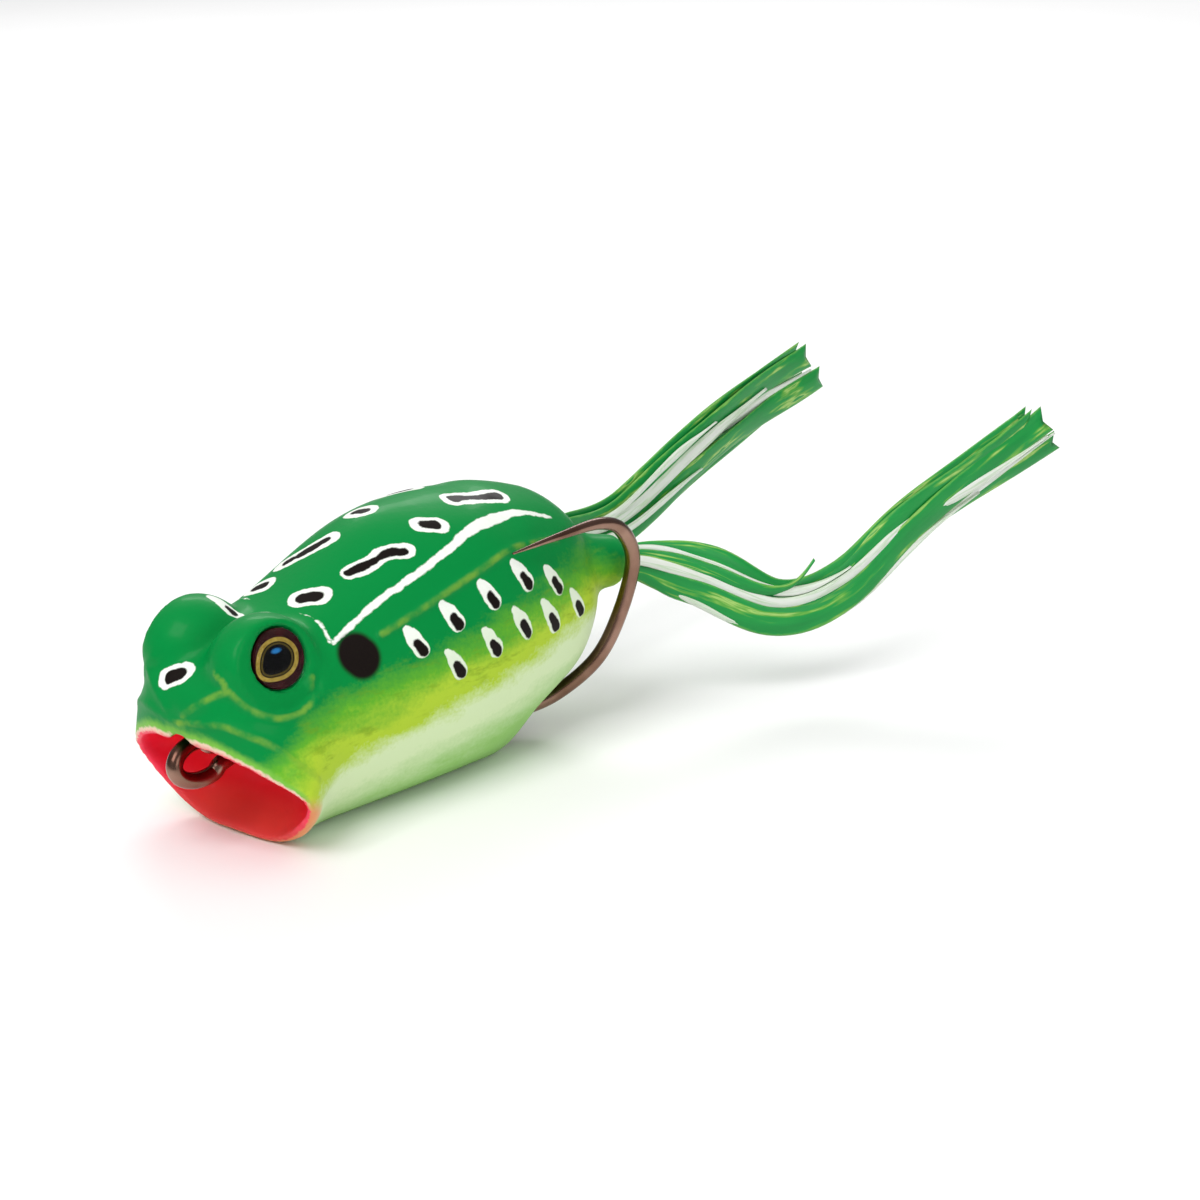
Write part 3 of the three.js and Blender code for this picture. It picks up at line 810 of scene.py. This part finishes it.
def cup_depth(points, normals):
    """Millimetres into the red cup from its lip, negative on the outside of the body."""
    lips = body_section(0, 720)
    middle = lips.mean(axis=0)
    y, lean, sweep_back = STATIONS[0][:3]
    behind = points[:, 1] - y - lean * (points[:, 2] - LEVEL) - sweep_back * (points[:, 0] / HALF_BEAM) ** 2
    lift = np.interp(behind, [row[0] for row in CUP_ROWS], [row[2] for row in CUP_ROWS])
    dx = points[:, 0] - middle[0]
    dz = points[:, 2] - middle[2] - lift
    lip_angle = np.arctan2(lips[:, 2] - middle[2], lips[:, 0] - middle[0])
    order = np.argsort(lip_angle)
    lip_reach = np.hypot(lips[:, 2] - middle[2], lips[:, 0] - middle[0])
    reach = np.interp(np.arctan2(dz, dx), lip_angle[order], lip_reach[order], period=2 * np.pi)
    inward = reach - np.hypot(dx, dz)
    towards = np.column_stack([-dx, np.full(len(dx), -2.0), -dz])
    facing = (normals * towards).sum(axis=1) / np.linalg.norm(towards, axis=1)
    turned = facing > np.interp(dz, (-6, 6), (-0.5, 0.45))
    inside = turned & (inward > 0.15) & (points[:, 1] < -14)
    return np.where(inside, np.maximum(behind, 0), -np.abs(behind))


def store(mesh, name, values):
    attribute = mesh.attributes.new(name, "FLOAT", "POINT")
    attribute.data.foreach_set("value", np.asarray(values, np.float32))


def paint_marks(obj):
    tree = surface_tree(obj)
    light = []
    dark = []
    for centre, direction, white, black in BACK_OVALS:
        light.append(oval(centre, direction, *white))
        dark.append(oval(centre, direction, *black))
    for white, black in BACK_WORMS:
        light.append(white)
        dark.append(black)
    for spot in FLANK_SPOTS:
        white, black = flank_spot(*spot)
        light += both_sides(white)
        dark += both_sides(black)
    points = read_points(obj.data)
    groups = {"light": light, "dark": dark, "stripe_and_highlight": both_sides(RIDGE_STRIPE_AND_HIGHLIGHT) + both_sides(EYE_BULGE_HIGHLIGHT),
              "ear": both_sides(EAR),
              "crease": [side for line in RAISED_LINES for side in both_sides([(*p, 0.0) for p in line])]}
    for name, chains in groups.items():
        store(obj.data, name, chain_distance(points, [laid_on(tree, chain) for chain in chains]))
    store(obj.data, "cup", cup_depth(points, read_normals(obj.data)))


def make_body(material):
    parts = [body_outer()]
    for side in (1, -1):
        parts.append(ellipsoid("bulge", mirrored(BULGE_CENTRE, side), BULGE_RADII))
        end = mirrored(TUBE_END, side)
        start = end - mirrored(TUBE_DIRECTION, side) * TUBE_LENGTH
        parts.append(rod("tube", start, end, TUBE_RADIUS + TUBE_ALLOWANCE))
    body = join(parts)
    body.name = "frog_body"
    body.data.name = "frog_body"
    remesh(body, ROUGH_VOXEL)
    relax(body, ROUGH_RELAX)
    cut(body, body_cutters())
    remesh(body, FINE_VOXEL)
    relax(body, FINE_RELAX)
    raise_lines(body)
    points = read_points(body.data)
    points[:, 2] = np.maximum(points[:, 2], LOWEST_POINT)
    write_points(body.data, points)
    paint_marks(body)
    return finish_piece(body, "body", material, ["body_shell"])


# ---- Hook ----

HOOK_ARM = [(10.4, 7.9, 23.9), (10.7, 15, 24.2), (11, 21, 24.2), (11, 24.6, 22.6), (11, 26.4, 18.8),
            (10.2, 25.2, 13.2), (8.7, 22.8, 8.0), (5.3, 19.6, 4.0), (2.6, 16, 2.5), (1.3, 12, 2.6),
            (SHANK_OFFSET, 6, 3.6), (SHANK_OFFSET, -8, 6.7), (SHANK_OFFSET, -20, 9)]
HOOK_POINT_LENGTH = 18
HOOK_TIP_RADIUS = 0.1
HOOK_RINGS = 620
HOOK_SIDES = 24


def hook_path():
    loop = []
    for turn in range(20, 360, 40):
        angle = math.radians(turn)
        loop.append((SHANK_OFFSET * (1 - turn / 180),
                     LINE_EYE_CENTRE[1] + LINE_EYE_LENGTH * math.cos(angle),
                     LINE_EYE_CENTRE[2] - LINE_EYE_HEIGHT * math.sin(angle)))
    other = [(-x, y, z) for x, y, z in reversed(HOOK_ARM)]
    return even_path(catmull(HOOK_ARM + loop + other, np.linspace(0, 1, 4000)), HOOK_RINGS)


def make_hook(material):
    path, length = hook_path()
    travelled = np.linspace(0, length, len(path))
    from_tip = np.minimum(travelled, length - travelled)
    taper = np.clip(from_tip / HOOK_POINT_LENGTH, 0, 1)
    radii = HOOK_TIP_RADIUS + (WIRE_RADIUS - HOOK_TIP_RADIUS) * taper ** 0.9
    hook = sweep("hook_wire", path, radii, HOOK_SIDES)
    return finish_piece(hook, "hook", material, ["double_hook"])


# ---- Eyes ----

def make_dome(side_name, side, material):
    """The clear resin over an eye: a low cap with a rounded foot."""
    normal = mirrored(EYE_NORMAL, side)
    across = unit(np.cross((0, 0, 1), normal))
    up = np.cross(normal, across)
    base = mirrored(EYE_CENTRE, side) + normal * DOME_GAP
    profile = [(0.55, 0.0), (0.94, 0.0), (1.0, 0.08)]
    profile += [(math.cos(t), 0.12 + 0.88 * math.sin(t)) for t in np.linspace(0.14, math.pi / 2 - 0.06, 14)]
    rings = []
    for reach, rise in profile:
        rings.append([base + normal * rise * DOME_HEIGHT + EYE_RADIUS * reach
                      * (math.cos(t) * across + math.sin(t) * up)
                      for t in np.linspace(0, 2 * np.pi, 64, endpoint=False)])
    dome = loft(f"{side_name}_eye_resin", rings)
    return finish_piece(dome, "body", material, [f"{side_name}_eye_dome"])


# ---- Strands ----

LEG_ROUTES = {
    "left": [(8.5, 32.4, 16.4), (12, 37.4, 14.2), (17, 44.1, 10.4), (20.6, 51.6, 11.8), (24, 62, 18.2),
             (29.8, 80.6, 26.6)],
    "right": [(-7.4, 35, 15.8), (-7.8, 45.4, 15.5), (-8.8, 60.3, 20.2), (-10.2, 75.9, 24.1),
              (-11, 89.5, 26.4)],
}
LEG_SIDES = {"left": 1, "right": -1}
RIBBON_STEPS = 80
RIBBON_POINTS = 14
RIBBON_THICKNESS = 0.3
ROOT_HALF_WIDTH = 0.5
CUPPING = 0.14
STRANDS_PER_LEG = 7

# Each ribbon: colour, width, far end, depth of its fish-tail cut, its tilt at root and tip in
# degrees, and its way through the bunch as (place along the leg, across, up).
RIBBONS = {
    "left": [
        ("green", 3.3, 0.985, 0.022, (10, -10),
         [(0, 0.6, -0.7), (0.08, 0.8, -1.0), (0.16, 1.0, -1.7), (0.5, 0.9, -1.5), (0.75, 1.0, -0.2),
          (1, 1.0, 0.9)]),
        ("green", 3.0, 0.96, 0.030, (-10, 10),
         [(0, 0.9, 0.2), (0.2, 0.6, 0.2), (0.5, 0.5, 1.1), (0.75, 0.8, 1.3), (1, 0.6, 1.5)]),
        ("white", 1.5, 0.97, 0.0, (0, 20),
         [(0, 1.0, 0.5), (0.12, 1.3, 0.5), (0.3, 0.9, 0.3), (0.6, 0.8, 0.3), (0.8, 1.1, -1.0),
          (1, 1.2, -1.1)]),
        ("green", 3.2, 0.95, 0.026, (20, 0),
         [(0, 0.0, -0.4), (0.2, 0.3, -0.6), (0.6, 0.1, -0.1), (1, 0.0, 1.2)]),
        ("green", 2.3, 0.94, 0.020, (0, -15),
         [(0, 0.1, 1.0), (0.08, 0.5, 1.9), (0.2, 0.6, 2.8), (0.36, 0.3, 1.8), (0.6, 0.2, 1.8),
          (1, 0.3, 1.9)]),
        ("green", 2.6, 1.0, 0.024, (-10, 10),
         [(0, -0.6, -0.9), (0.2, -0.3, -2.0), (0.5, -0.4, -2.1), (0.8, 0.1, -2.4), (1, 0.2, -3.0)]),
        ("white", 1.4, 0.995, 0.0, (10, -10),
         [(0, -0.3, 0.8), (0.12, 0.4, 1.4), (0.4, 0.0, 0.8), (0.7, 0.3, -1.8), (1, 0.4, -1.9)]),
        ("green", 2.8, 0.97, 0.028, (15, 5),
         [(0, -0.9, 0.3), (0.2, -0.8, 0.4), (0.5, -0.9, 0.9), (1, -0.9, 1.2)]),
        ("white", 1.2, 0.5, 0.0, (0, 0),
         [(0, 0.6, 0.9), (0.1, 0.8, 1.9), (0.25, 0.9, 1.8), (0.5, 0.9, 1.4)]),
        ("green", 1.8, 0.43, 0.0, (0, 25),
         [(0, 0.8, 1.1), (0.12, 1.2, 1.2), (0.28, 1.2, 1.3), (0.36, 1.1, 2.3), (0.43, 0.9, 4.6)]),
        ("white", 1.0, 0.8, 0.0, (-10, 0),
         [(0, 0.2, -0.9), (0.1, 0.5, -1.5), (0.2, 0.9, -2.8), (0.4, 0.8, -3.0), (0.8, 0.6, -2.4)]),
    ],
    "right": [
        ("green", 3.2, 0.965, 0.024, (10, -5),
         [(0, 0.5, 0.8), (0.15, 0.8, 1.2), (0.4, 0.8, 1.5), (1, 0.7, 1.5)]),
        ("green", 2.6, 0.94, 0.020, (0, 15),
         [(0, 0.3, 1.2), (0.15, 0.2, 1.9), (0.4, 0.2, 2.3), (1, 0.1, 2.5)]),
        ("white", 1.7, 0.8, 0.0, (0, 10),
         [(0, 0.9, 0.2), (0.2, 1.2, 0.6), (0.4, 1.2, 0.4), (0.7, 1.1, 0.7), (1, 1.1, 1.4)]),
        ("green", 2.9, 1.0, 0.022, (-10, 5),
         [(0, 0.7, -0.8), (0.15, 1.0, -1.3), (0.4, 0.9, -1.9), (1, 0.8, -2.3)]),
        ("green", 2.2, 0.9, 0.020, (5, -10),
         [(0, 0.1, -1.0), (0.15, 0.2, -2.2), (0.4, 0.2, -2.8), (1, 0.1, -3.0)]),
        ("green", 2.8, 0.66, 0.0, (15, 0),
         [(0, -0.1, 0.1), (0.2, 0.3, 0.1), (0.45, 0.3, -0.1), (0.66, 0.2, -1.4)]),
        ("white", 1.6, 0.97, 0.0, (-5, 5),
         [(0, -0.6, 0.4), (0.2, -0.3, 0.4), (0.5, -0.4, 0.2), (0.75, 0.4, -0.4), (1, 0.5, -0.8)]),
        ("green", 2.6, 0.97, 0.020, (0, 10),
         [(0, -0.8, -0.4), (0.2, -0.9, -0.9), (0.5, -0.9, -1.6), (1, -0.9, -2.4)]),
        ("white", 1.0, 0.62, 0.0, (0, 0),
         [(0, 1.0, 0.8), (0.15, 1.4, 1.0), (0.4, 1.5, 2.3), (0.62, 1.2, 1.9)]),
        ("green", 2.6, 0.95, 0.020, (-15, 0),
         [(0, -1.0, 0.5), (0.2, -1.0, 0.9), (0.5, -1.0, 1.2), (1, -1.0, 1.4)]),
        ("white", 1.0, 0.55, 0.0, (0, 0),
         [(0, 1.0, -0.6), (0.15, 1.4, -0.6), (0.4, 1.5, -1.5), (0.55, 1.3, -2.2)]),
    ],
}


def leg_path(side_name):
    """Points along a leg, a level side direction, an upward one, and the leg's length."""
    side = LEG_SIDES[side_name]
    end = mirrored(TUBE_END, side)
    root = end - mirrored(TUBE_DIRECTION, side) * ROOT_DEPTH
    route = [root, end] + [np.array(p, float) for p in LEG_ROUTES[side_name]]
    path, length = even_path(catmull(route, np.linspace(0, 1, 1200)), 400)
    tangents = curve_frames(path)[0]
    level = np.cross(tangents, (0, 0, 1))
    level /= np.linalg.norm(level, axis=1)[:, None]
    return path, level, np.cross(level, tangents), length


def smooth_step(values):
    values = np.clip(values, 0, 1)
    return values * values * (3 - 2 * values)


def on_path(rows, table):
    return np.stack([np.interp(rows, np.arange(len(table)), table[:, k]) for k in range(3)], axis=-1)


def ribbon(name, leg, width, end, notch, tilts, spots, tone):
    """A flat strand with thin edges, cupped a little, cut like a fish's tail or, with no notch, narrowed."""
    path, level, upward, length = leg
    share = np.linspace(0, 1, RIBBON_STEPS + 1)[:, None]
    angles = np.linspace(0, 2 * np.pi, RIBBON_POINTS, endpoint=False)[None, :]
    sideways = np.cos(angles)
    along = share * end - notch * (1 - sideways ** 2) * share ** 12
    fan_places = np.linspace(0, spots[-1][0], 200)
    places = [spot[0] for spot in spots]
    marks = np.interp(fan_places, places, np.linspace(0, 1, len(spots)))
    fan = catmull([(spot[1], spot[2], 0) for spot in spots], marks)
    opened = smooth_step((along - 0.02) / 0.14)
    ripple = 1 + 0.07 * np.sin(share * 17 + tone * 40)
    half = ROOT_HALF_WIDTH + (width / 2 * ripple - ROOT_HALF_WIDTH) * opened
    if not notch:
        half = half * (1 - 0.8 * smooth_step((share - 0.75) / 0.25))
    tilt = np.radians(tilts[0] + (tilts[1] - tilts[0]) * share + 12 * np.sin(share * 9 + tone * 30)) * opened
    rows = along * (len(path) - 1)
    up = on_path(rows, upward)
    side = on_path(rows, level)
    wide = up * np.cos(tilt)[..., None] + side * np.sin(tilt)[..., None]
    thin = side * np.cos(tilt)[..., None] - up * np.sin(tilt)[..., None]
    centre = (on_path(rows, path) + side * np.interp(along, fan_places, fan[:, 0])[..., None]
              + up * np.interp(along, fan_places, fan[:, 1])[..., None])
    lift = RIBBON_THICKNESS / 2 * np.sin(angles) - CUPPING * sideways ** 2 * opened
    rings = centre + wide * (half * sideways)[..., None] + thin * lift[..., None]
    obj = loft(name, list(rings[::-1]))
    store(obj.data, "across", np.append((sideways + 0 * share)[::-1].ravel(), [0, 0]))
    store(obj.data, "along", np.append((along * length)[::-1].ravel(), [end * length, 0]))
    store(obj.data, "tone", np.full(len(obj.data.vertices), tone))
    return obj


def make_leg(side_name, materials):
    leg = leg_path(side_name)
    tones = random.Random(f"{side_name} leg")
    for index, (colour, width, end, notch, tilts, spots) in enumerate(RIBBONS[side_name], 1):
        piece = ribbon(f"{side_name}_ribbon_{index}", leg, width, end, notch, tilts, spots, tones.random())
        replaced = [f"{side_name}_strand_{index}"] if index <= STRANDS_PER_LEG else ()
        finish_piece(piece, f"{side_name}_leg", materials[colour], replaced)


# ---- Stage ----

def camera_axes():
    azimuth = math.radians(CAMERA_AZIMUTH)
    elevation = math.radians(CAMERA_ELEVATION)
    back = Vector((math.sin(azimuth) * math.cos(elevation), -math.cos(azimuth) * math.cos(elevation),
                   math.sin(elevation)))
    right = Vector((math.cos(azimuth), math.sin(azimuth), 0))
    up = back.cross(right)
    roll = Matrix.Rotation(math.radians(-CAMERA_ROLL), 3, back)
    return roll.inverted() @ right, roll.inverted() @ up, back


def make_camera():
    right, up, back = camera_axes()
    data = bpy.data.cameras.new("camera")
    data.sensor_width = SENSOR
    data.lens = CAMERA_LENS
    data.clip_start = 0.01
    data.clip_end = 20
    camera = bpy.data.objects.new("camera", data)
    place = Vector(CAMERA_TARGET) + back * CAMERA_DISTANCE
    turn = Matrix((right, up, back)).transposed().to_4x4()
    camera.matrix_world = Matrix.Translation(place * MM) @ turn
    bpy.context.scene.collection.objects.link(camera)
    bpy.context.scene.camera = camera


def area_light(name, place, size, power):
    """A soft panel aimed at the middle of the lure. place and size are in metres."""
    data = bpy.data.lights.new(name, "AREA")
    data.shape = "RECTANGLE"
    data.size, data.size_y = size
    data.energy = power
    light = bpy.data.objects.new(name, data)
    light.location = place
    aim = Vector((0, 0.02, 0.015)) - Vector(place)
    light.rotation_euler = aim.to_track_quat("-Z", "Y").to_euler()
    bpy.context.scene.collection.objects.link(light)


def make_stage():
    floor = new_object("floor", [(-6, -6, 0), (6, -6, 0), (6, 6, 0), (-6, 6, 0)], [(0, 1, 2, 3)])
    floor.location.z = -0.00002
    floor.data.materials.append(floor_material())
    world = bpy.data.worlds.new("studio")
    bpy.context.scene.world = world
    world.use_nodes = True
    nodes = world.node_tree.nodes
    links = world.node_tree.links
    coordinates = nodes.new("ShaderNodeTexCoord")
    split = nodes.new("ShaderNodeSeparateXYZ")
    ramp = nodes.new("ShaderNodeValToRGB")
    ramp.color_ramp.elements[0].position = 0.0
    ramp.color_ramp.elements[0].color = (0.34, 0.34, 0.34, 1)
    ramp.color_ramp.elements[1].position = 0.85
    ramp.color_ramp.elements[1].color = (1, 1, 1, 1)
    links.new(coordinates.outputs["Generated"], split.inputs["Vector"])
    links.new(split.outputs["Z"], ramp.inputs["Fac"])
    links.new(ramp.outputs["Color"], nodes["Background"].inputs["Color"])
    nodes["Background"].inputs["Strength"].default_value = 0.72
    area_light("key", (0.1, -0.5, 0.7), (0.5, 0.5), 4.6)
    area_light("fill", (0.8, -0.1, 0.35), (0.4, 0.4), 1.2)
    area_light("rim", (-0.5, 0.6, 0.5), (0.6, 0.2), 2.4)
    bpy.context.scene.view_settings.view_transform = "Standard"


make_camera()
make_stage()
make_body(skin_material())
make_hook(bronze_material())

resin = resin_material()
for side_name, side in LEG_SIDES.items():
    make_dome(side_name, side, resin)
    repaint(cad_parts[f"{side_name}_eye_disc"], iris_material(side_name, side))

strands = {
    "green": strand_material("green_silicone", [
        (0.0, srgb(0, 122, 50)), (0.40, srgb(0, 140, 58)), (0.55, srgb(8, 148, 60)),
        (0.61, srgb(96, 170, 60)), (0.66, srgb(170, 206, 110)), (0.70, srgb(20, 150, 62)),
        (1.0, srgb(0, 136, 56))], srgb(104, 180, 76), 0.06),
    "white": strand_material("white_silicone", [
        (0.0, srgb(248, 250, 246)), (0.5, srgb(240, 246, 236)), (0.62, srgb(206, 228, 196)),
        (0.7, srgb(246, 249, 243))], srgb(216, 232, 204), 0.2),
}
for side_name in LEG_SIDES:
    make_leg(side_name, strands)

repaint(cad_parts["belly_weight"], lead_material())
thread = thread_material()
for side_name in LEG_SIDES:
    repaint(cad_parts[f"{side_name}_leg_tie"], thread)
